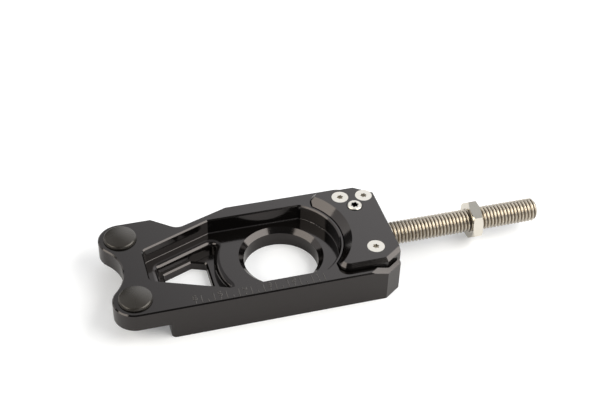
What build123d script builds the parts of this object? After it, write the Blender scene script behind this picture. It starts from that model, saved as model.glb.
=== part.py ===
from build123d import *
from math import acos, atan2, cos, pi, radians, sin, sqrt, tan
import os

# Chain adjuster block for one side of a motorcycle swingarm, in millimetres.
# The origin is on the wheel axle's centre line at the block's underside, +X runs along the spindle to its
# free end, +Y is the side with the waist and +Z is up.
os.makedirs("parts", exist_ok=True)

# Axle block: outer form
block_height = 12.5
block_width = 43.5
corner_cut_x = 5.5
corner_cut_y = 3.9
corner_bevel_run = 3.6
corner_bevel_drop = 1.5
edge_break = 0.4
foot_start = -41.2
foot_corner_radius = 1.5
ear_x = -51.0
ear_radius = 7.25
ear_thickness = 6.5
ear_hole_radius = 3.4
notch_depth = 5.6
waist_x = -31.8
waist_wall = 2.9
waist_start = -40.2
waist_finish = -12.8
waist_radius = 4.0

# Axle block: axle bore, pocket, recess and window
axle_radius = 12.5
axle_chamfer = 1.65
pocket_floor = 6.7
pocket_half_width = 16.25
pocket_radius = 19.4
pocket_nose = -45.0
nose_half_width = 7.0
nose_radius = 2.0
flare_end = -21.3
pocket_edge_break = 0.45
pocket_foot_radius = 0.4
ledge_width = 2.2
ring_radius = 20.4
recess_depth = 3.55
recess_round = 2.0
recess_corner_radius = 1.5
window_margin = 1.1
window_nose_margin = 1.8
window_ring_margin = 1.9
window_taper = 4.7
window_corner_radius = 0.8
window_edge_break = 0.5

# Seat for the gear housing, and the housing's outer form
seat_floor = 3.8
seat_gap = 0.4
rail_width = 2.1
housing_top = 15.0
housing_overhang = 0.6
housing_arc_radius = 20.8
arc_wall = 1.6
end_wall = 1.1
tip_width = 4.75
tip_radius = 3.4
arc_bevel = 2.4
side_bevel = 1.2

# Spindle, and the worm wheel that turns on it
spindle_height = 7.6
spindle_radius = 3.97
spindle_inner_reach = 5.0
spindle_length = 68.0
spindle_chamfer = 1.0
running_clearance = 0.06
wheel_teeth = 16
gear_module = 0.7
addendum = 0.6
dedendum = 0.75
pressure_angle = 20.0
backlash = 0.16
wheel_face = 5.1
hub_radius = 4.8
hub_clearance = 0.05
hub_length = 10.8
bush_wall = 1.15
bush_length = 2.4
washer_thickness = 0.6
washer_width = 1.1
washer_clearance = 0.3
axial_play = 0.05
chamber_clearance = 0.35
spindle_hole_clearance = 0.5
seal_thickness = 1.4
seal_clearance = 0.1

# Worm, upright beside the wheel
worm_y = 8.8
worm_turns = 2.5
thread_backlash = 0.12
worm_runout = 0.35
worm_clearance = 0.3
collar_radius = 3.4
collar_thickness = 0.6
worm_head_radius = 2.65
worm_head_height = 0.45
worm_head_chamfer = 0.45
journal_clearance = 0.05
foot_journal_radius = 2.0
foot_bush_wall = 1.0
foot_hole_depth = 2.4
foot_end_gap = 0.3
head_seal_section = 1.0
head_seal_depth = 1.0
drive_size = 2.8
drive_depth = 1.9

# Fasteners and plugs; each screw's place is given along X from the worm and inwards from the housing's side
arc_screw_x = -3.5
arc_screw_inset = 4.95
end_screw_x = 4.6
end_screw_inset = 5.95
near_screw_x = 0.6
near_screw_inset = 7.05
screw_radius = 1.5
screw_length = 13.8
screw_head_radius = 2.9
screw_clearance = 0.2
screw_thread_gap = 0.05
screw_drive_size = 2.2
screw_drive_depth = 0.9
tapped_depth = 2.9
nut_stand_off = 30.0
nut_thickness = 3.6
nut_across_flats = 12.0
nut_turn = 16.0
nut_chamfer = 0.5
nut_chamfer_rise = 0.9
plug_radius = 5.5
plug_brim = 0.6
plug_dome = 1.3
plug_stem_length = 4.5
plug_stem_clearance = 0.1
plug_stem_chamfer = 0.6

# Sizes that follow from those above
half_width = block_width / 2
ear_y = half_width - ear_radius
ear_underside = block_height - ear_thickness
seat_half_width = half_width - rail_width
housing_half_width = seat_half_width - seat_gap
tip_x = sqrt(housing_arc_radius**2 - (housing_half_width - tip_width) ** 2)
flare = atan2(pocket_half_width - nose_half_width, flare_end - pocket_nose)
recess_inset = ledge_width + recess_round
recess_arc = ring_radius + recess_round
recess_floor = pocket_floor - recess_depth
pitch_radius = wheel_teeth * gear_module / 2
tip_circle = pitch_radius + addendum
root_circle = pitch_radius - dedendum
worm_pitch_radius = worm_y - pitch_radius
worm_tip = worm_pitch_radius + addendum
worm_root = worm_pitch_radius - dedendum
lead = pi * gear_module
lead_slope = lead / (2 * pi * worm_pitch_radius)
bush_inner = hub_radius + hub_clearance
bush_outer = bush_inner + bush_wall
wheel_half = wheel_face / 2
chamber_half = wheel_half + axial_play + washer_thickness
chamber_radius = tip_circle + chamber_clearance
bush_half = chamber_half + bush_length
seal_end = bush_half + seal_thickness
gear_cavity = [(-chamber_half, chamber_half, chamber_radius), (-bush_half, seal_end, bush_outer)]
worm_x = housing_arc_radius + arc_wall + bush_half
housing_end = worm_x + seal_end + end_wall
block_end = housing_end - housing_overhang
spindle_start = worm_x - spindle_inner_reach
nut_start = housing_end + nut_stand_off
screw_places = [
    (worm_x + arc_screw_x, housing_half_width - arc_screw_inset),
    (worm_x + end_screw_x, housing_half_width - end_screw_inset),
    (worm_x + near_screw_x, near_screw_inset - housing_half_width),
]
spindle_hole = spindle_radius + spindle_hole_clearance
thread_start = spindle_height - lead * worm_turns / 2
worm_bottom = thread_start - lead * worm_runout
worm_top = spindle_height + lead * (worm_turns / 2 + worm_runout)
worm_chamber = worm_tip + worm_clearance
worm_shoulder = worm_top + collar_thickness + washer_thickness + axial_play
head_seal_floor = housing_top - head_seal_depth - head_seal_section


def spindle_plane(x):
    """Plane across the spindle at x, its own x axis along +Y and its own y axis along +Z."""
    return Plane(origin=(x, 0, spindle_height), x_dir=(0, 1, 0), z_dir=(1, 0, 0))


def cut_corner_plan(start, end, half, cut_x, cut_y):
    """Rectangle from start to end with its two corners at the gear end cut off."""
    Polygon(
        (start, -half),
        (end - cut_x, -half),
        (end, cut_y - half),
        (end, half - cut_y),
        (end - cut_x, half),
        (start, half),
        align=None,
    )


def flare_y(x, inset):
    """Half width between the pocket's two flared sides at x, with both sides moved inwards by inset."""
    return nose_half_width + (x - pocket_nose) * tan(flare) - inset / cos(flare)


def recess_plan():
    """The recess's outline at its floor: nose, two flared sides and an arc about the axle."""
    nose_x = pocket_nose + recess_inset
    nose_y = flare_y(nose_x, recess_inset)
    # Where the flared side crosses the arc: t is the distance along the side from the nose corner.
    along = nose_x * cos(flare) + nose_y * sin(flare)
    t = -along - sqrt(along**2 - nose_x**2 - nose_y**2 + recess_arc**2)
    end_x = nose_x + t * cos(flare)
    end_y = nose_y + t * sin(flare)
    with BuildSketch() as plan:
        with BuildLine():
            Polyline((end_x, -end_y), (nose_x, -nose_y), (nose_x, nose_y), (end_x, end_y))
            ThreePointArc((end_x, end_y), (-recess_arc, 0), (end_x, -end_y))
        make_face()
        fillet(plan.vertices(), recess_corner_radius)
    return plan.sketch


def window_plan():
    """The window's outline: it widens with the flared sides, then narrows again towards the axle."""
    start = pocket_nose + recess_inset + window_nose_margin
    end = -recess_arc - window_ring_margin
    widest = end - window_taper
    start_y = flare_y(start, recess_inset + window_margin)
    widest_y = flare_y(widest, recess_inset + window_margin)
    end_y = widest_y - window_taper * tan(flare)
    with BuildSketch() as plan:
        Polygon(
            (start, -start_y),
            (widest, -widest_y),
            (end, -end_y),
            (end, end_y),
            (widest, widest_y),
            (start, start_y),
            align=None,
        )
        fillet(plan.vertices(), window_corner_radius)
    return plan.sketch


def housing_plan(gap, end):
    """The housing's outline grown by gap: arc about the axle, two rounded tips and two cut corners."""
    radius = housing_arc_radius - gap
    tip = tip_x - gap
    half = housing_half_width + gap
    tip_y = sqrt(radius**2 - tip**2)
    grown = gap * sqrt(corner_cut_x**2 + corner_cut_y**2) / corner_cut_x
    cut_start = housing_end - corner_cut_x + (grown - gap) * corner_cut_x / corner_cut_y
    end_y = half - (end - cut_start) * corner_cut_y / corner_cut_x
    with BuildSketch() as plan:
        with BuildLine():
            Polyline((tip, -tip_y), (tip, -half), (cut_start, -half), (end, -end_y))
            Line((end, -end_y), (end, end_y))
            Polyline((end, end_y), (cut_start, half), (tip, half), (tip, tip_y))
            ThreePointArc((tip, tip_y), (radius, 0), (tip, -tip_y))
        make_face()
        tips = plan.vertices().group_by(Axis.X)[0].sort_by(Axis.Y)
        fillet([tips[0], tips[-1]], tip_radius + gap)
    return plan.sketch


def slot_under(radius):
    """Upright slot with a round top on the spindle's axis, open through the housing's underside."""
    drop = spindle_height - seat_floor
    Circle(radius)
    with Locations((0, -drop)):
        Rectangle(2 * radius, 2 * drop)


def six_lobe(size):
    """Six-lobe driver socket outline: a core circle with six round lobes."""
    Circle(size * 0.36)
    with PolarLocations(size * 0.36, 6):
        Circle(size * 0.14)


def space_flank(radius, side):
    """Point on an involute tooth space's flank at this radius; the space is centred on its own x axis."""
    base_circle = pitch_radius * cos(radians(pressure_angle))

    def spread(r):
        """Involute function of the pressure angle at radius r."""
        angle = acos(min(1.0, base_circle / r))
        return tan(angle) - angle

    at_pitch = pi / (2 * wheel_teeth) + backlash / pitch_radius
    half = at_pitch + spread(radius) - spread(pitch_radius)
    return (radius * cos(half), side * radius * sin(half))


def tooth_space():
    """Outline of one tooth space of the worm wheel, from the root circle to just past the tips."""
    outer = tip_circle + addendum
    with BuildSketch() as plan:
        with BuildLine():
            lower = ThreePointArc(*[space_flank(r, -1) for r in (root_circle, pitch_radius, outer)])
            upper = ThreePointArc(*[space_flank(r, 1) for r in (root_circle, pitch_radius, outer)])
            Line(lower @ 0, upper @ 0)
            Line(lower @ 1, upper @ 1)
        make_face()
    return plan.sketch


# Axle block: milled from one piece of aluminium, with two ears at the nose and a seat at the gear end.
notch_radius = ((ear_radius - notch_depth) ** 2 + ear_y**2 - ear_radius**2) / (2 * notch_depth)
notch_x = ear_x - ear_radius + notch_depth - notch_radius
touch = notch_radius / (notch_radius + ear_radius)
touch_x = notch_x + (ear_x - notch_x) * touch
touch_y = ear_y * touch
waist_depth = half_width - flare_y(waist_x, 0) - waist_wall
with BuildPart() as axle_block:
    with BuildSketch():
        cut_corner_plan(foot_start, block_end, half_width, corner_cut_x, corner_cut_y)
        fillet(vertices().group_by(Axis.X)[0], foot_corner_radius)
    extrude(amount=ear_underside)
    with BuildSketch(Plane.XY.offset(ear_underside)):
        cut_corner_plan(ear_x, block_end, half_width, corner_cut_x, corner_cut_y)
        with Locations((ear_x, ear_y), (ear_x, -ear_y)):
            Circle(ear_radius)
        Polygon((ear_x, ear_y), (touch_x, touch_y), (touch_x, -touch_y), (ear_x, -ear_y), align=None)
        with Locations((notch_x, 0)):
            Circle(notch_radius, mode=Mode.SUBTRACT)
    extrude(amount=ear_thickness)
    chamfer(faces().sort_by(Axis.Z)[-1].edges(), edge_break)
    # Sloping bevel on each cut corner of the gear end
    for side in (-1, 1):
        corner = Plane(
            origin=(block_end - corner_cut_x, side * half_width, block_height),
            x_dir=(corner_cut_y, side * corner_cut_x, 0),
            z_dir=(side * corner_cut_x, -corner_cut_y, 0),
        )
        with BuildSketch(corner):
            Polygon(
                (-corner_bevel_run, 0),
                (corner_bevel_run, -2 * corner_bevel_drop),
                (corner_bevel_run, corner_bevel_drop),
                (-corner_bevel_run, corner_bevel_drop),
                align=None,
            )
        extrude(amount=block_width, both=True, mode=Mode.SUBTRACT)
    # Waist on the far side: two facets at about 45 degrees that meet in a rounded valley
    with BuildSketch(Plane.XY.offset(block_height), mode=Mode.PRIVATE) as waist:
        Polygon(
            (waist_start, half_width),
            (waist_x, half_width - waist_depth),
            (waist_finish, half_width),
            (waist_finish, half_width + waist_depth),
            (waist_start, half_width + waist_depth),
            align=None,
        )
        fillet(waist.vertices().sort_by(Axis.Y)[0], waist_radius)
    loft(sections=[waist.sketch.face(), Vertex(waist_x, half_width, ear_underside)], mode=Mode.SUBTRACT)
    # Pocket round the axle, narrowing to a nose between the ears
    meet_x = sqrt(pocket_radius**2 - pocket_half_width**2)
    with BuildSketch(Plane.XY.offset(pocket_floor)) as pocket:
        with BuildLine():
            Polyline(
                (meet_x, -pocket_half_width),
                (flare_end, -pocket_half_width),
                (pocket_nose, -nose_half_width),
                (pocket_nose, nose_half_width),
                (flare_end, pocket_half_width),
                (meet_x, pocket_half_width),
            )
            ThreePointArc((meet_x, pocket_half_width), (pocket_radius, 0), (meet_x, -pocket_half_width))
        make_face()
        fillet(pocket.vertices().group_by(Axis.X)[0] + pocket.vertices().group_by(Axis.X)[-1], nose_radius)
    extrude(amount=block_height - pocket_floor, mode=Mode.SUBTRACT)
    top = axle_block.faces().filter_by(Axis.Z).sort_by(Axis.Z)[-1]
    chamfer(top.inner_wires().edges(), pocket_edge_break)
    floor = axle_block.faces().filter_by(Axis.Z).sort_by_distance((0, 0, pocket_floor))[0]
    fillet(floor.outer_wire().edges(), pocket_foot_radius)
    # Recess with rounded upper edges in the pocket's nose, and the window through its floor
    with BuildSketch(Plane.XY.offset(pocket_floor)):
        add(recess_plan())
    extrude(amount=-recess_depth, mode=Mode.SUBTRACT)
    floor = axle_block.faces().filter_by(Axis.Z).sort_by_distance((0, 0, pocket_floor))[0]
    fillet(floor.inner_wires().edges(), recess_round)
    with BuildSketch(Plane.XY.offset(recess_floor)):
        add(window_plan())
    extrude(amount=-recess_floor, mode=Mode.SUBTRACT)
    floor = axle_block.faces().filter_by(Axis.Z).sort_by_distance((-recess_arc, 0, recess_floor))[0]
    chamfer(floor.inner_wires().edges(), window_edge_break)
    # Axle bore with a wide chamfer
    Hole(axle_radius)
    circles = axle_block.edges().filter_by(GeomType.CIRCLE)
    chamfer(circles.sort_by_distance((axle_radius, 0, pocket_floor))[0], axle_chamfer)
    # Seat for the gear housing, open at the gear end
    with BuildSketch(Plane.XY.offset(seat_floor)):
        add(housing_plan(seat_gap, block_end + corner_cut_x / 2))
    extrude(amount=block_height, mode=Mode.SUBTRACT)
    # Troughs in the seat's floor for the lower part of the wheel, its bushes, the seal and the spindle
    for start, end, radius in gear_cavity:
        with BuildSketch(spindle_plane(worm_x + start)):
            Circle(radius)
        extrude(amount=end - start, mode=Mode.SUBTRACT)
    with BuildSketch(spindle_plane(housing_arc_radius)):
        Circle(spindle_hole)
    extrude(amount=block_end, mode=Mode.SUBTRACT)
    # Blind hole for the worm's foot bush, tapped holes for the housing screws, holes through the ears
    with Locations((worm_x, worm_y, seat_floor)):
        Hole(foot_journal_radius + foot_bush_wall, foot_hole_depth)
    with Locations([(x, y, seat_floor) for x, y in screw_places]):
        Hole(screw_radius, tapped_depth)
    with Locations((ear_x, ear_y, block_height), (ear_x, -ear_y, block_height)):
        Hole(ear_hole_radius, block_height)

axle_block.part.label = "axle_block"
export_step(axle_block.part, "parts/axle_block.step")

# Gear housing: a block that drops into the seat over the gears, with a wide bevel along its arc.
with BuildPart() as gear_housing:
    with BuildSketch(Plane.XY.offset(seat_floor)):
        add(housing_plan(0, housing_end))
    extrude(amount=housing_top - seat_floor)
    top_edges = gear_housing.faces().sort_by(Axis.Z)[-1].edges()
    sharp = top_edges.sort_by_distance((housing_end, 0, housing_top))[0]
    arc = top_edges.sort_by_distance((housing_arc_radius, 0, housing_top))[0]
    chamfer([edge for edge in top_edges if edge not in (sharp, arc)], side_bevel)
    with BuildSketch(Plane.XZ):
        Polygon(
            (housing_arc_radius, housing_top - arc_bevel),
            (housing_arc_radius + arc_bevel, housing_top),
            (housing_arc_radius - arc_bevel, housing_top),
            (housing_arc_radius - arc_bevel, housing_top - arc_bevel),
            align=None,
        )
    revolve(axis=Axis.Z, mode=Mode.SUBTRACT)
    # Slots over the wheel, its bushes, the seal and the spindle, open through the underside
    for start, end, radius in gear_cavity:
        with BuildSketch(spindle_plane(worm_x + start)):
            slot_under(radius)
        extrude(amount=end - start, mode=Mode.SUBTRACT)
    with BuildSketch(spindle_plane(0)):
        slot_under(spindle_hole)
    extrude(amount=housing_end, mode=Mode.SUBTRACT)
    # Upright chamber for the worm, with a shoulder over its thrust washer and a seal groove under its head
    with BuildSketch(Plane.XY.offset(seat_floor)):
        with Locations((worm_x, worm_y)):
            Circle(worm_chamber)
    extrude(amount=worm_shoulder - seat_floor, mode=Mode.SUBTRACT)
    with Locations((worm_x, worm_y, housing_top)):
        Hole(worm_head_radius + journal_clearance)
    with BuildSketch(Plane.XY.offset(head_seal_floor)):
        with Locations((worm_x, worm_y)):
            Circle(worm_head_radius + seal_clearance + head_seal_section)
    extrude(amount=head_seal_section, mode=Mode.SUBTRACT)
    with Locations([(x, y, housing_top) for x, y in screw_places]):
        CounterSinkHole(screw_radius + screw_clearance, screw_head_radius, counter_sink_angle=90)

gear_housing.part.label = "gear_housing"
export_step(gear_housing.part, "parts/gear_housing.step")

# Worm wheel: bronze, with tooth spaces cut at the worm's lead angle and a threaded bore for the spindle.
with BuildPart() as worm_wheel:
    with BuildSketch(spindle_plane(worm_x - hub_length / 2)):
        Circle(hub_radius)
    extrude(amount=hub_length)
    with BuildSketch(spindle_plane(worm_x - wheel_half)):
        Circle(tip_circle)
    extrude(amount=wheel_face)
    # Each space runs across the face along the worm's lead; mesh_phase sets one space over the thread.
    lean = wheel_half * lead_slope / pitch_radius
    mesh_phase = 0.75 - worm_turns / 2
    for tooth in range(wheel_teeth):
        turn = 2 * pi * (tooth + mesh_phase) / wheel_teeth - lean
        across = Plane(
            origin=(worm_x - wheel_half, 0, spindle_height),
            x_dir=(0, cos(turn), sin(turn)),
            z_dir=(1, 0, 0),
        )
        with BuildSketch(across):
            add(tooth_space())
        run = Vector(1, -lead_slope * sin(turn), lead_slope * cos(turn))
        extrude(amount=wheel_face * run.length, dir=run, mode=Mode.SUBTRACT)
    with BuildSketch(spindle_plane(worm_x - hub_length / 2)):
        Circle(spindle_radius + running_clearance)
    extrude(amount=hub_length, mode=Mode.SUBTRACT)

worm_wheel.part.label = "worm_wheel"
export_step(worm_wheel.part, "parts/worm_wheel.step")

# Worm: hardened steel, one thread, with a six-lobe socket in the head that shows on the housing's top.
worm_axis = Axis((worm_x, worm_y, 0), (0, 0, 1))
with BuildPart() as worm:
    with BuildSketch(Plane(origin=(worm_x, worm_y, 0), x_dir=(1, 0, 0), z_dir=(0, -1, 0))):
        Polygon(
            (0, seat_floor - foot_hole_depth + foot_end_gap),
            (foot_journal_radius, seat_floor - foot_hole_depth + foot_end_gap),
            (foot_journal_radius, worm_bottom),
            (worm_root, worm_bottom),
            (worm_root, worm_top),
            (collar_radius, worm_top),
            (collar_radius, worm_top + collar_thickness),
            (worm_head_radius, worm_top + collar_thickness),
            (worm_head_radius, housing_top + worm_head_height - worm_head_chamfer),
            (worm_head_radius - worm_head_chamfer, housing_top + worm_head_height),
            (0, housing_top + worm_head_height),
            align=None,
        )
    revolve(axis=worm_axis)
    # The thread starts on the worm's +X side and its foot runs a little into the core.
    with BuildLine():
        Helix(lead, lead * worm_turns, worm_pitch_radius, center=(worm_x, worm_y, thread_start))
    half_thread = lead / 4 - thread_backlash
    flank_slope = tan(radians(pressure_angle))
    thread_foot = -1.2 * dedendum
    thread_plane = Plane(
        origin=(worm_x + worm_pitch_radius, worm_y, thread_start),
        x_dir=(1, 0, 0),
        z_dir=(0, -1, 0),
    )
    with BuildSketch(thread_plane):
        Polygon(
            (thread_foot, half_thread - thread_foot * flank_slope),
            (addendum, half_thread - addendum * flank_slope),
            (addendum, addendum * flank_slope - half_thread),
            (thread_foot, thread_foot * flank_slope - half_thread),
            align=None,
        )
    sweep(is_frenet=True)
    with BuildSketch(Plane.XY.offset(housing_top + worm_head_height)):
        with Locations((worm_x, worm_y)):
            six_lobe(drive_size)
    extrude(amount=-drive_depth, mode=Mode.SUBTRACT)

worm.part.label = "worm"
export_step(worm.part, "parts/worm.step")

# Spindle: M8 stainless stud; its thread is left plain here.
with BuildPart() as spindle:
    with BuildSketch(spindle_plane(spindle_start)):
        Circle(spindle_radius)
    extrude(amount=spindle_length)
    chamfer(spindle.edges().filter_by(GeomType.CIRCLE), spindle_chamfer)

spindle.part.label = "spindle"
export_step(spindle.part, "parts/spindle.step")

# Lock nut: thin M8 hexagon nut with both faces chamfered.
with BuildPart() as lock_nut:
    with BuildSketch(spindle_plane(nut_start)):
        Circle(nut_across_flats / sqrt(3))
    extrude(amount=nut_thickness)
    rims = lock_nut.edges().filter_by(GeomType.CIRCLE)
    side = lock_nut.faces().filter_by(GeomType.CYLINDER)[0]
    chamfer(rims, nut_chamfer, nut_chamfer_rise, reference=side)
    with BuildSketch(spindle_plane(nut_start)):
        RegularPolygon(nut_across_flats / 2, 6, major_radius=False, rotation=nut_turn)
    extrude(amount=nut_thickness, mode=Mode.INTERSECT)
    with BuildSketch(spindle_plane(nut_start)):
        Circle(spindle_radius + running_clearance)
    extrude(amount=nut_thickness, mode=Mode.SUBTRACT)

lock_nut.part.label = "lock_nut"
export_step(lock_nut.part, "parts/lock_nut.step")


def spindle_ring(name, start, length, inner, outer):
    """Plain ring round the spindle's axis from start, written as its own piece."""
    with BuildPart() as ring:
        with BuildSketch(spindle_plane(start)):
            Circle(outer)
            Circle(inner, mode=Mode.SUBTRACT)
        extrude(amount=length)
    ring.part.label = name
    export_step(ring.part, f"parts/{name}.step")


def worm_ring(name, base, height, inner, outer):
    """Plain ring round the worm's axis from base upwards, written as its own piece."""
    with BuildPart() as ring:
        with BuildSketch(Plane.XY.offset(base)):
            with Locations((worm_x, worm_y)):
                Circle(outer)
                Circle(inner, mode=Mode.SUBTRACT)
        extrude(amount=height)
    ring.part.label = name
    export_step(ring.part, f"parts/{name}.step")


# Bronze hub bushes, steel thrust washers and a rubber wiper seal round the wheel and the spindle
washer_inner = hub_radius + washer_clearance
washer_outer = washer_inner + washer_width
spindle_ring("inner_hub_bush", worm_x - bush_half, bush_length, bush_inner, bush_outer)
spindle_ring("outer_hub_bush", worm_x + chamber_half, bush_length, bush_inner, bush_outer)
spindle_ring("inner_thrust_washer", worm_x - chamber_half, washer_thickness, washer_inner, washer_outer)
outer_washer_x = worm_x + wheel_half + axial_play
spindle_ring("outer_thrust_washer", outer_washer_x, washer_thickness, washer_inner, washer_outer)
spindle_ring("spindle_seal", worm_x + bush_half, seal_thickness, spindle_radius + seal_clearance, bush_outer)

# Bronze foot bush and steel thrust washer on the worm
foot_bush_inner = foot_journal_radius + journal_clearance
foot_bush_outer = foot_journal_radius + foot_bush_wall
worm_ring("worm_foot_bush", seat_floor - foot_hole_depth, foot_hole_depth, foot_bush_inner, foot_bush_outer)
worm_washer_base = worm_shoulder - washer_thickness
worm_washer_inner = worm_head_radius + washer_clearance
worm_ring("worm_thrust_washer", worm_washer_base, washer_thickness, worm_washer_inner, worm_tip)

# Rubber O-ring round the worm's head
seal_half = head_seal_section / 2
with BuildPart() as worm_head_seal:
    with BuildSketch(Plane(origin=(worm_x, worm_y, 0), x_dir=(1, 0, 0), z_dir=(0, -1, 0))):
        with Locations((worm_head_radius + seal_clearance + seal_half, head_seal_floor + seal_half)):
            Circle(seal_half)
    revolve(axis=worm_axis)

worm_head_seal.part.label = "worm_head_seal"
export_step(worm_head_seal.part, "parts/worm_head_seal.step")

# Housing screws: three M3 countersunk screws with six-lobe sockets
shank_radius = screw_radius - screw_thread_gap
head_height = screw_head_radius - shank_radius - screw_thread_gap
hung = (Align.CENTER, Align.CENTER, Align.MAX)
with BuildPart() as housing_screws:
    with Locations([(x, y, housing_top - screw_thread_gap) for x, y in screw_places]):
        Cone(shank_radius, shank_radius + head_height, head_height, align=hung)
        Cylinder(shank_radius, screw_length, align=hung)
    with BuildSketch(Plane.XY.offset(housing_top)):
        with Locations(screw_places):
            six_lobe(screw_drive_size)
    extrude(amount=-screw_drive_depth, mode=Mode.SUBTRACT)

housing_screws.part.label = "housing_screws"
export_step(housing_screws.part, "parts/housing_screws.step")

# Ear plugs: push-in plastic caps with a domed head over each ear hole
stem_radius = ear_hole_radius - plug_stem_clearance
dome_sphere = (plug_radius**2 + plug_dome**2) / (2 * plug_dome)
for name, y in (("near_ear_plug", -ear_y), ("far_ear_plug", ear_y)):
    with BuildPart() as ear_plug:
        with BuildSketch(Plane(origin=(ear_x, y, block_height), x_dir=(1, 0, 0), z_dir=(0, -1, 0))):
            with BuildLine():
                Polyline(
                    (0, plug_brim + plug_dome),
                    (0, -plug_stem_length),
                    (stem_radius - plug_stem_chamfer, -plug_stem_length),
                    (stem_radius, plug_stem_chamfer - plug_stem_length),
                    (stem_radius, 0),
                    (plug_radius, 0),
                    (plug_radius, plug_brim),
                )
                RadiusArc((plug_radius, plug_brim), (0, plug_brim + plug_dome), -dome_sphere)
            make_face()
        revolve(axis=Axis((ear_x, y, 0), (0, 0, 1)))
    ear_plug.part.label = name
    export_step(ear_plug.part, f"parts/{name}.step")
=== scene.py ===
import math

import bpy
import numpy as np
from mathutils import Matrix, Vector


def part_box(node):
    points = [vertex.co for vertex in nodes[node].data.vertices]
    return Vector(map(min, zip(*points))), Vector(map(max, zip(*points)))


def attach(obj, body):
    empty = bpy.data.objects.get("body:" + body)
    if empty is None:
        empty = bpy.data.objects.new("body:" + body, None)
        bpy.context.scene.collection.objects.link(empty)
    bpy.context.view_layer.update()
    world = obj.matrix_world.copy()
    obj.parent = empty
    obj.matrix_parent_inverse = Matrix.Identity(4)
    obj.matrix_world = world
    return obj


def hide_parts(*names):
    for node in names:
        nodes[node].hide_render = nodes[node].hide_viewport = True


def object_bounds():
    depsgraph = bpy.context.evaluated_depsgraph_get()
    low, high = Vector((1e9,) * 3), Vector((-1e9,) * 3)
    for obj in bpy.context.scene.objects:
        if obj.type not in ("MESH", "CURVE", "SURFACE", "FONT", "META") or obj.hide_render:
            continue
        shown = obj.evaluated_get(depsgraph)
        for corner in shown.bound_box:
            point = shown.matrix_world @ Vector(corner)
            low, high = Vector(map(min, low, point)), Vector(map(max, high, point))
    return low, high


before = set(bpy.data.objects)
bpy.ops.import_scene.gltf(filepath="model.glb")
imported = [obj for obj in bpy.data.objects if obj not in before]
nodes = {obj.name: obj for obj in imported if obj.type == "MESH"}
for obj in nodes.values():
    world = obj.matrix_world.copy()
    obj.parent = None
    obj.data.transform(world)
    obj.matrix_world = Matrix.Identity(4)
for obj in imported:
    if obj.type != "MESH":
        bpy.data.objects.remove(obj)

cad_low, cad_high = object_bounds()
scene = bpy.context.scene
scene.view_settings.view_transform = "Standard"

# Camera: a long lens that looks down on the part from its left front, as in the photograph.
# The focal length is for a 36 mm wide sensor, and the place is in metres from the axle's foot.
camera_lens = 73.44
camera_sensor = 36.0
camera_near = 0.01
camera_place = (-0.08207, -0.28677, 0.2836)
camera_turn = math.radians(-17.061)
camera_dip = math.radians(40.29)
camera_roll = math.radians(1.838)
camera_data = bpy.data.cameras.new("camera")
camera_data.lens = camera_lens
camera_data.sensor_width = camera_sensor
camera_data.clip_start = camera_near
camera = bpy.data.objects.new("camera", camera_data)
camera.matrix_world = (
    Matrix.Translation(camera_place)
    @ Matrix.Rotation(camera_turn, 4, "Z")
    @ Matrix.Rotation(math.pi / 2 - camera_dip, 4, "X")
    @ Matrix.Rotation(camera_roll, 4, "Z")
)
scene.collection.objects.link(camera)
scene.camera = camera


# Floor: a plain white studio table that runs out of sight on all sides.
# It takes soft shadows; the camera sees it lifted to white, more so far from the part, and mirror rays see it
# evener and paler.
def link_mesh(name, points, faces, smooth=True):
    """New mesh object at the origin from an array of points and a list of faces."""
    mesh = bpy.data.meshes.new(name)
    mesh.from_pydata(points.tolist(), [], faces)
    mesh.polygons.foreach_set("use_smooth", np.full(len(mesh.polygons), smooth))
    mesh.update()
    made = bpy.data.objects.new(name, mesh)
    scene.collection.objects.link(made)
    return made


def add_node(tree, kind, links=None, **values):
    """New shader node; links feeds its inputs from sockets or plain values, and values sets its properties."""
    node = tree.nodes.new(kind)
    for key, value in values.items():
        setattr(node, key, value)
    for key, source in (links or {}).items():
        if hasattr(source, "is_linked"):
            tree.links.new(source, node.inputs[key])
        else:
            node.inputs[key].default_value = source
    return node


floor_half = 4.0
floor_white = (0.82, 0.845, 0.885, 1.0)
floor_mirrored = (0.66, 0.66, 0.67, 1.0)
floor_lift = 0.21
floor_far_lift = 0.80
floor_near, floor_far = 0.32, 0.75
mirror_lift = 0.10
corners = np.array([(-1, -1, 0), (1, -1, 0), (1, 1, 0), (-1, 1, 0)], float) * floor_half
corners[:, 2] = cad_low.z
floor = link_mesh("floor", corners, [(0, 1, 2, 3)], smooth=False)
floor_paint = bpy.data.materials.new("white_table")
floor_paint.use_nodes = True
tree = floor_paint.node_tree
tree.nodes.clear()
ray = add_node(tree, "ShaderNodeLightPath")
white = add_node(tree, "ShaderNodeMix", {"Factor": ray.outputs["Is Glossy Ray"]}, data_type="RGBA")
white.inputs["A"].default_value = floor_white
white.inputs["B"].default_value = floor_mirrored
mirrored = add_node(
    tree, "ShaderNodeMath", {0: ray.outputs["Is Glossy Ray"], 1: mirror_lift}, operation="MULTIPLY",
)
spot = add_node(tree, "ShaderNodeTexCoord")
distance = add_node(tree, "ShaderNodeVectorMath", {0: spot.outputs["Object"]}, operation="LENGTH")
seen = add_node(
    tree, "ShaderNodeMapRange",
    {"Value": distance.outputs["Value"], "From Min": floor_near, "From Max": floor_far,
     "To Min": floor_lift, "To Max": floor_far_lift},
    interpolation_type="SMOOTHSTEP",
)
lift = add_node(
    tree, "ShaderNodeMath",
    {0: ray.outputs["Is Camera Ray"], 1: seen.outputs["Result"], 2: mirrored.outputs[0]},
    operation="MULTIPLY_ADD",
)
table = add_node(tree, "ShaderNodeBsdfDiffuse", {"Color": white.outputs["Result"]})
glow = add_node(tree, "ShaderNodeEmission", {"Strength": lift.outputs[0]})
both = add_node(tree, "ShaderNodeAddShader", {0: table.outputs[0], 1: glow.outputs[0]})
add_node(tree, "ShaderNodeOutputMaterial", {"Surface": both.outputs[0]})
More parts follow.
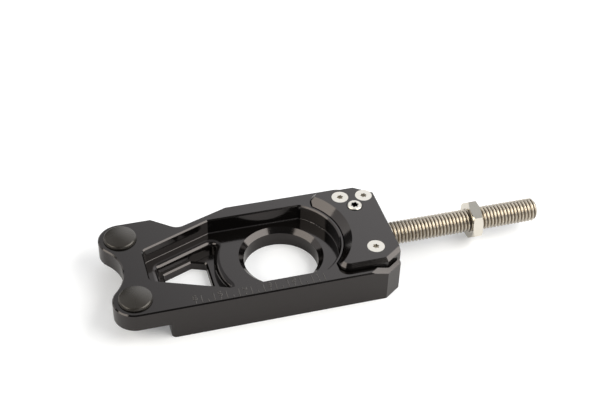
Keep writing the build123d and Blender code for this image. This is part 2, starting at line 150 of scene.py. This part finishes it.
floor.data.materials.append(floor_paint)


# Light: a broad soft box on the right, a low strip on the left with a weak fill behind it, powers in watts, and
# a dim room with pale walls at the right rear and the front and pale patches overhead and at the left rear.
# Each box faces the middle of the part. Each glow of the room is its aim, the cosine at its edge and its level.
def soft_box(name, place, size, power, tint):
    """Rectangular soft light at place that faces the part's middle."""
    lamp = bpy.data.lights.new(name, "AREA")
    lamp.shape = "RECTANGLE"
    lamp.size, lamp.size_y = size
    lamp.energy = power
    lamp.color = tint
    made = bpy.data.objects.new(name, lamp)
    aim = (cad_low + cad_high) / 2 - Matrix.Translation(place).translation
    made.matrix_world = Matrix.Translation(place) @ aim.to_track_quat("-Z", "Y").to_matrix().to_4x4()
    made.visible_camera = False
    scene.collection.objects.link(made)


soft_box(
    "right_soft_box", place=(0.490, -0.232, 0.472), size=(0.71, 0.54), power=6.3, tint=(1.0, 0.965, 0.90),
)
soft_box(
    "left_soft_box", place=(-0.590, -0.085, 0.455), size=(0.64, 0.32), power=2.7, tint=(1.0, 0.94, 0.84),
)
soft_box(
    "rear_fill", place=(-0.56, 0.43, 0.25), size=(0.46, 0.38), power=0.62, tint=(1.0, 0.96, 0.92),
)
room_white = (1.0, 1.0, 1.0, 1.0)
room_dim = 0.06
room_glows = (
    ((0.56, 0.70, 0.44), 0.70, 1.69),
    ((0.20, -0.96, 0.20), 0.86, 0.90),
    ((0.00, 0.10, 0.995), 0.82, 0.40),
    ((-0.40, 0.60, 0.69), 0.88, 0.60),
)
room = bpy.data.worlds.new("studio_room")
room.use_nodes = True
scene.world = room
tree = room.node_tree
way = add_node(tree, "ShaderNodeTexCoord")
level = room_dim
for glow_aim, glow_edge, glow_level in room_glows:
    facing = add_node(
        tree, "ShaderNodeVectorMath", {0: way.outputs["Generated"], 1: glow_aim}, operation="DOT_PRODUCT",
    )
    glow = add_node(
        tree, "ShaderNodeMapRange",
        {"Value": facing.outputs["Value"], "From Min": glow_edge, "From Max": 1.0, "To Max": glow_level},
        interpolation_type="SMOOTHSTEP",
    )
    total = add_node(tree, "ShaderNodeMath", {0: glow.outputs["Result"], 1: level}, operation="ADD")
    level = total.outputs[0]
backdrop = tree.nodes["Background"]
backdrop.inputs["Color"].default_value = room_white
tree.links.new(level, backdrop.inputs["Strength"])


# Axle block and gear housing: milled from aluminium plate and anodised a satin black.
# The skin is dark and a little patchy, with a fine blasted grain, and screws hold the housing on the block.
def new_group(name, inputs, outputs):
    """Empty shader node group with float inputs (name: value) and typed outputs (name: socket type)."""
    group = bpy.data.node_groups.new(name, "ShaderNodeTree")
    for key, value in inputs.items():
        socket = group.interface.new_socket(key, in_out="INPUT", socket_type="NodeSocketFloat")
        socket.default_value = value
    for key, kind in outputs.items():
        group.interface.new_socket(key, in_out="OUTPUT", socket_type=kind)
    return group, group.nodes.new("NodeGroupInput"), group.nodes.new("NodeGroupOutput")


skin, skin_in, skin_out = new_group(
    "worked_skin",
    {"Patch scale": 60.0, "Grain scale": 5000.0, "Roughness low": 0.3, "Roughness high": 0.4},
    {"Patch": "NodeSocketFloat", "Roughness": "NodeSocketFloat", "Grain": "NodeSocketFloat"},
)
patch_detail = 4.0
grain_detail = 2.0
patch_low, patch_high = 0.3, 0.7
spot = add_node(skin, "ShaderNodeTexCoord")
patch = add_node(skin, "ShaderNodeTexNoise", {
    "Vector": spot.outputs["Object"], "Scale": skin_in.outputs["Patch scale"], "Detail": patch_detail,
})
grain = add_node(skin, "ShaderNodeTexNoise", {
    "Vector": spot.outputs["Object"], "Scale": skin_in.outputs["Grain scale"], "Detail": grain_detail,
})
spread = add_node(skin, "ShaderNodeMapRange", {
    "Value": patch.outputs["Fac"], "From Min": patch_low, "From Max": patch_high,
    "To Min": skin_in.outputs["Roughness low"], "To Max": skin_in.outputs["Roughness high"],
})
skin.links.new(patch.outputs["Fac"], skin_out.inputs["Patch"])
skin.links.new(spread.outputs["Result"], skin_out.inputs["Roughness"])
skin.links.new(grain.outputs["Fac"], skin_out.inputs["Grain"])


def worked_material(name, dark, light, skin_values, grain_depth, **sockets):
    """Principled material whose colour, roughness and grain come from the worked_skin group."""
    made = bpy.data.materials.new(name)
    made.use_nodes = True
    own = made.node_tree
    shader = own.nodes["Principled BSDF"]
    for key, value in sockets.items():
        shader.inputs[key.replace("_", " ")].default_value = value
    surface = add_node(own, "ShaderNodeGroup", node_tree=skin)
    for key, value in skin_values.items():
        surface.inputs[key].default_value = value
    tint = add_node(own, "ShaderNodeMix", {"Factor": surface.outputs["Patch"]}, data_type="RGBA")
    tint.inputs["A"].default_value = (*dark, 1.0)
    tint.inputs["B"].default_value = (*light, 1.0)
    bump = add_node(own, "ShaderNodeBump", {
        "Height": surface.outputs["Grain"], "Strength": 1.0, "Distance": grain_depth,
    })
    own.links.new(tint.outputs["Result"], shader.inputs["Base Color"])
    own.links.new(surface.outputs["Roughness"], shader.inputs["Roughness"])
    own.links.new(bump.outputs["Normal"], shader.inputs["Normal"])
    return made


def dress(node, material):
    """Gives every material slot of a CAD node this material."""
    for place in nodes[node].material_slots:
        place.material = material


black_anodise = worked_material(
    "black_anodise", (0.0022, 0.0020, 0.0020), (0.0045, 0.0040, 0.0038),
    {"Patch scale": 45.0, "Grain scale": 6000.0, "Roughness low": 0.09, "Roughness high": 0.14}, 0.0000006,
    IOR=1.55, Specular_Tint=(1.0, 0.942, 0.946, 1.0),
)
dress("axle_block", black_anodise)
dress("gear_housing", black_anodise)


# Beam scale: graduation marks on top of the near beam, for setting both ends of the axle alike.
# Marks and plain numbers are fine strokes in the anodised skin, a little duller than the face round them.
def fine_strokes(strokes, half_width, rise, end_run, end_scale, sides, level):
    """Closed slim beads: point(s, a) = start + s along + scale(s) (half_width cos a across + rise sin a up).

    Each stroke has four rings, narrowed to end_scale at its two ends, and a flat face closes each end.
    Half of each bead lies below the level of the face that carries it.
    """
    start, along = strokes[:, 0], strokes[:, 1] - strokes[:, 0]
    length = np.linalg.norm(along, axis=1, keepdims=True)
    along = along / length
    across = np.stack([-along[:, 1], along[:, 0]], axis=1)
    reach = np.concatenate([0 * length, end_run + 0 * length, length - end_run, length], axis=1)
    scale = np.array([end_scale, 1.0, 1.0, end_scale])[None, :, None, None]
    angle = np.linspace(0.0, 2 * np.pi, sides, endpoint=False)
    spine = start[:, None, :] + reach[:, :, None] * along[:, None, :]
    sideways = scale * half_width * np.cos(angle)[None, None, :, None]
    upwards = scale * rise * np.sin(angle)[None, None, :, None]
    flat = spine[:, :, None, :] + sideways * across[:, None, None, :]
    height = np.broadcast_to(level + upwards, flat.shape[:3] + (1,))
    points = np.concatenate([flat, height], axis=-1).reshape(-1, 3)
    side = np.arange(sides)
    step = (side + 1) % sides
    ring = (np.arange(3) * sides)[:, None]
    tube = np.stack([ring + side, ring + step, ring + sides + step, ring + sides + side], axis=-1)
    first = (np.arange(len(strokes)) * 4 * sides)[:, None]
    quads = (first[:, :, None] + tube.reshape(-1, 4)).reshape(-1, 4)
    ends = np.concatenate([first + side[::-1], first + 3 * sides + side])
    return points, quads.tolist() + ends.tolist()


scale_start = -0.033
scale_step = 0.004
scale_count = 11
scale_foot = -0.0211
short_mark = 0.0012
long_mark = 0.0033
stroke_half_width = 0.00019
stroke_rise = 0.00010
stroke_end_run = 0.0001
stroke_end_scale = 0.5
stroke_sides = 10
number_row = "654321"
number_foot = -0.0194
number_size = np.array((0.0011, 0.0009))
number_strokes = {
    "1": (((0.5, 0), (0.5, 2)), ((0.5, 2), (0.1, 1.6))),
    "2": (((0, 2), (1, 2)), ((1, 2), (1, 1)), ((1, 1), (0, 1)), ((0, 1), (0, 0)), ((0, 0), (1, 0))),
    "3": (((0, 2), (1, 2)), ((1, 2), (1, 0)), ((1, 0), (0, 0)), ((0.2, 1), (1, 1))),
    "4": (((0, 2), (0, 1)), ((0, 1), (1, 1)), ((1, 2), (1, 0))),
    "5": (((1, 2), (0, 2)), ((0, 2), (0, 1)), ((0, 1), (1, 1)), ((1, 1), (1, 0)), ((1, 0), (0, 0))),
    "6": (((1, 2), (0, 2)), ((0, 2), (0, 0)), ((0, 0), (1, 0)), ((1, 0), (1, 1)), ((1, 1), (0, 1))),
}
mark_x = scale_start + scale_step * np.arange(scale_count)
short_marks = [((x, scale_foot), (x, scale_foot + short_mark)) for x in mark_x]
long_marks = [((x, scale_foot), (x, scale_foot + long_mark)) for x in mark_x + scale_step / 2]
number_marks = [
    np.array(number_strokes[digit]) * number_size + (x - number_size[0] / 2, number_foot)
    for digit, x in zip(number_row, mark_x[::2])
]
strokes = np.concatenate([np.array(short_marks), np.array(long_marks), *number_marks])
beam_scale = link_mesh("beam_scale", *fine_strokes(
    strokes, stroke_half_width, stroke_rise, stroke_end_run, stroke_end_scale, stroke_sides,
    level=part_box("axle_block")[1].z,
))
etched_anodise = worked_material(
    "etched_anodise", (0.030, 0.0285, 0.027), (0.042, 0.040, 0.038),
    {"Patch scale": 45.0, "Grain scale": 6000.0, "Roughness low": 0.30, "Roughness high": 0.38}, 0.0000006,
    IOR=1.55, Specular_Tint=(1.0, 0.942, 0.946, 1.0),
)
beam_scale.data.materials.append(etched_anodise)
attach(beam_scale, "block")

# Bushes and wheel: bronze, turned and hobbed. Washers: ground steel. Seals: moulded rubber.
# They are closed in by the housing and show only when it is taken off.
bronze = worked_material(
    "bronze", (0.52, 0.33, 0.13), (0.68, 0.46, 0.20),
    {"Patch scale": 200.0, "Grain scale": 4000.0, "Roughness low": 0.25, "Roughness high": 0.4}, 0.000002,
    Metallic=1.0,
)
ground_steel = worked_material(
    "ground_steel", (0.42, 0.42, 0.43), (0.55, 0.55, 0.56),
    {"Patch scale": 300.0, "Grain scale": 6000.0, "Roughness low": 0.25, "Roughness high": 0.35}, 0.000002,
    Metallic=1.0,
)
rubber = worked_material(
    "seal_rubber", (0.012, 0.012, 0.012), (0.025, 0.025, 0.024),
    {"Patch scale": 300.0, "Grain scale": 3000.0, "Roughness low": 0.55, "Roughness high": 0.7}, 0.00001,
)
for node in ("worm_wheel", "inner_hub_bush", "outer_hub_bush", "worm_foot_bush"):
    dress(node, bronze)
for node in ("inner_thrust_washer", "outer_thrust_washer", "worm_thrust_washer"):
    dress(node, ground_steel)
for node in ("spindle_seal", "worm_head_seal"):
    dress(node, rubber)

# Worm and housing screws: bright steel, turned, with pressed six-lobe sockets.
# The worm's head stands proud of the housing, and the screws lie flush in their countersinks.
# Below the heads their sockets carry painted shade, nearly black in the worm and grey in the screws.
# Painted shade: a mask that rises from 0 to 1 below a given height, for darkening recesses in the colour.
shade, shade_in, shade_out = new_group(
    "depth_shade", {"Clear height": 0.0, "Fade": 0.0005}, {"Shade": "NodeSocketFloat"},
)
spot = add_node(shade, "ShaderNodeTexCoord")
upright = add_node(shade, "ShaderNodeSeparateXYZ", {"Vector": spot.outputs["Object"]})
below = add_node(
    shade, "ShaderNodeMath", {0: shade_in.outputs["Clear height"], 1: upright.outputs["Z"]},
    operation="SUBTRACT",
)
fade = add_node(
    shade, "ShaderNodeMath", {0: below.outputs[0], 1: shade_in.outputs["Fade"]},
    operation="DIVIDE", use_clamp=True,
)
shade.links.new(fade.outputs[0], shade_out.inputs["Shade"])


def darken(material, mask, tone):
    """Mixes a dark tone of painted shade into a worked material's base colour where the mask is 1."""
    own = material.node_tree
    base = own.nodes["Principled BSDF"].inputs["Base Color"]
    mix = add_node(own, "ShaderNodeMix", {"Factor": mask}, data_type="RGBA")
    own.links.new(base.links[0].from_socket, mix.inputs["A"])
    mix.inputs["B"].default_value = (*tone, 1.0)
    own.links.new(mix.outputs["Result"], base)


# Painted shade in the sockets: below each head's top, the base colour fades to these tones.
worm_clear, worm_fade, worm_socket_shade_tone = 0.00020, 0.00010, (0.004, 0.004, 0.004)
screw_clear, screw_fade, screw_socket_shade_tone = 0.0001, 0.0005, (0.42, 0.40, 0.36)
for node, clear, fade_depth, tone in (
    ("worm", worm_clear, worm_fade, worm_socket_shade_tone),
    ("housing_screws", screw_clear, screw_fade, screw_socket_shade_tone),
):
    steel = worked_material(
        node + "_steel", (0.58, 0.56, 0.52), (0.70, 0.68, 0.63),
        {"Patch scale": 400.0, "Grain scale": 5000.0, "Roughness low": 0.30, "Roughness high": 0.42},
        0.000001, Metallic=1.0,
    )
    socket = add_node(steel.node_tree, "ShaderNodeGroup", node_tree=shade)
    socket.inputs["Clear height"].default_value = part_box(node)[1].z - clear
    socket.inputs["Fade"].default_value = fade_depth
    darken(steel, socket.outputs["Shade"], tone)
    dress(node, steel)


# Spindle: stainless M8 stud with a rolled thread along its whole length and a bevel at each end.
# The thread is a surface over the length and the turn round the axis, with painted shade in its roots.
def threaded_rod(start, end, height, crest, pitch, depth, crest_flat, root_flat, bevel, steps, sides):
    """Rod along X: radius = crest - depth * groove(x / pitch - turn), cut down by the end bevels.

    groove is a trapezium wave: 0 on the crest, 1 in the root, with straight flanks between; the flats are
    half widths in pitches. Returns the points, the faces and each point's groove value.
    """
    along = np.linspace(start, end, steps)[:, None]
    turn = np.linspace(0.0, 1.0, sides, endpoint=False)[None, :]
    from_crest = 0.5 - np.abs(np.mod(along / pitch - turn, 1.0) - 0.5)
    groove = np.clip((from_crest - crest_flat) / (0.5 - crest_flat - root_flat), 0.0, 1.0)
    reach = np.minimum(along - start, end - along)
    radius = np.minimum(crest - depth * groove, crest - bevel + reach)
    angle = 2 * np.pi * turn
    across = radius * np.cos(angle)
    upright = height + radius * np.sin(angle)
    points = np.stack([np.broadcast_to(along, radius.shape), across, upright], axis=-1).reshape(-1, 3)
    ring = np.arange(steps - 1)[:, None] * sides
    side = np.arange(sides)[None, :]
    step = (side + 1) % sides
    quads = np.stack([ring + side, ring + step, ring + sides + step, ring + sides + side], axis=-1)
    ends = np.array([(start, 0.0, height), (end, 0.0, height)])
    first = len(points)
    last = (steps - 1) * sides
    caps = np.concatenate([
        np.stack([np.full(sides, first), step[0], side[0]], axis=-1),
        np.stack([np.full(sides, first + 1), last + side[0], last + step[0]], axis=-1),
    ])
    root = np.concatenate([groove.ravel(), np.zeros(2)])
    return np.concatenate([points, ends]), quads.reshape(-1, 4).tolist() + caps.tolist(), root


thread_pitch = 0.00125
thread_depth = 0.00072
thread_crest_flat = 1 / 16
thread_root_flat = 1 / 14
thread_bevel = 0.0010
thread_steps = 972
thread_sides = 72
# Painted shade in the thread's roots: the base colour fades to this tone where the groove value passes the
# start.
root_shade_start = 0.35
root_shade_tone = (0.15, 0.12, 0.09)
spindle_low, spindle_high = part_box("spindle")
thread_points, thread_faces, thread_root = threaded_rod(
    spindle_low.x, spindle_high.x, (spindle_low.z + spindle_high.z) / 2, (spindle_high.y - spindle_low.y) / 2,
    thread_pitch, thread_depth, thread_crest_flat, thread_root_flat, thread_bevel, thread_steps, thread_sides,
)
threaded_spindle = link_mesh("threaded_spindle", thread_points, thread_faces)
threaded_spindle.data.attributes.new("root", "FLOAT", "POINT").data.foreach_set("value", thread_root)
stainless = worked_material(
    "stainless", (0.62, 0.575, 0.50), (0.73, 0.685, 0.605),
    {"Patch scale": 300.0, "Grain scale": 5000.0, "Roughness low": 0.26, "Roughness high": 0.34}, 0.000001,
    Metallic=1.0,
)
# Painted shade: the root attribute darkens the base colour in the thread's roots.
root = add_node(stainless.node_tree, "ShaderNodeAttribute", attribute_name="root")
root_shade = add_node(stainless.node_tree, "ShaderNodeMapRange", {
    "Value": root.outputs["Fac"], "From Min": root_shade_start,
})
darken(stainless, root_shade.outputs["Result"], root_shade_tone)
threaded_spindle.data.materials.append(stainless)
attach(threaded_spindle, "stud")
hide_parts("spindle")

# Lock nut: thin hexagon nut in stainless steel, turned from bar and chamfered on both sides.
# It runs on the stud's thread, and its flats are bright.
nut_steel = worked_material(
    "nut_steel", (0.76, 0.73, 0.655), (0.84, 0.81, 0.735),
    {"Patch scale": 150.0, "Grain scale": 5000.0, "Roughness low": 0.07, "Roughness high": 0.11}, 0.0000002,
    Metallic=1.0,
)
dress("lock_nut", nut_steel)


# Ear plugs: push-in caps moulded in black plastic, with a domed head, a rounded lip and a plain stem.
# Each is turned from one outline and sits with its brim on the ear.
def turned(outline, smooth_rows, sides, centre):
    """Closed surface of revolution about Z: centre + (r cos a, r sin a, z) for each (r, z) of the outline.

    The outline runs from the upper pole to the lower one. Returns the points, the faces and which are smooth.
    """
    angle = np.linspace(0.0, 2 * np.pi, sides, endpoint=False)
    radius, height = outline[1:-1, 0][:, None], outline[1:-1, 1][:, None]
    rows = len(radius)
    across = centre.x + radius * np.cos(angle)
    along = centre.y + radius * np.sin(angle)
    points = np.stack([across, along, height + 0 * angle], axis=-1).reshape(-1, 3)
    poles = np.array([(centre.x, centre.y, outline[0, 1]), (centre.x, centre.y, outline[-1, 1])])
    side = np.arange(sides)
    step = (side + 1) % sides
    row = np.arange(rows - 1)[:, None] * sides
    quads = np.stack([row + side, row + sides + side, row + sides + step, row + step], axis=-1)
    top = np.stack([np.full(sides, rows * sides), side, step], axis=-1)
    last = (rows - 1) * sides
    bottom = np.stack([np.full(sides, rows * sides + 1), last + step, last + side], axis=-1)
    smooth_quads = np.repeat(np.arange(rows - 1) < smooth_rows, sides)
    smooth = np.concatenate([np.ones(sides, bool), smooth_quads, np.zeros(sides, bool)])
    faces = top.tolist() + quads.reshape(-1, 4).tolist() + bottom.tolist()
    return np.concatenate([points, poles]), faces, smooth


plug_lip = 0.0011
plug_lip_height = 0.00015
plug_edge = 0.0001
plug_stem = 0.0033
plug_stem_bevel = 0.0006
plug_dome_steps = 18
plug_lip_steps = 12
plug_sides = 72
plug_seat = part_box("axle_block")[1].z
plug_plastic = worked_material(
    "plug_plastic", (0.018, 0.016, 0.014), (0.026, 0.024, 0.021),
    {"Patch scale": 120.0, "Grain scale": 4000.0, "Roughness low": 0.24, "Roughness high": 0.30}, 0.000001,
    Specular_Tint=(1.0, 0.965, 0.93, 1.0),
)
for node in ("near_ear_plug", "far_ear_plug"):
    low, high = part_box(node)
    radius = (high.x - low.x) / 2
    lip_in = radius - plug_lip
    lip_z = plug_seat + plug_lip_height
    rise = high.z - lip_z
    ball = (lip_in**2 + rise**2 - plug_lip**2) / (2 * (rise - plug_lip))
    lip_start = math.asin(lip_in / (ball - plug_lip))
    dome = np.linspace(0.0, lip_start, plug_dome_steps)
    lip = np.linspace(lip_start, np.pi / 2, plug_lip_steps)[1:]
    outline = np.concatenate([
        np.stack([ball * np.sin(dome), high.z - ball + ball * np.cos(dome)], axis=-1),
        np.stack([lip_in + plug_lip * np.sin(lip), lip_z + plug_lip * np.cos(lip)], axis=-1),
        np.array([
            (radius, plug_seat + plug_edge), (radius - plug_edge, plug_seat), (plug_stem, plug_seat),
            (plug_stem, low.z + plug_stem_bevel), (plug_stem - plug_stem_bevel, low.z), (0.0, low.z),
        ]),
    ])
    smooth_rows = len(dome) + len(lip) - 1
    cap_points, cap_faces, cap_smooth = turned(outline, smooth_rows, plug_sides, (low + high) / 2)
    cap = link_mesh(node.replace("plug", "cap"), cap_points, cap_faces, cap_smooth)
    cap.data.materials.append(plug_plastic)
    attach(cap, "block")
    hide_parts(node)
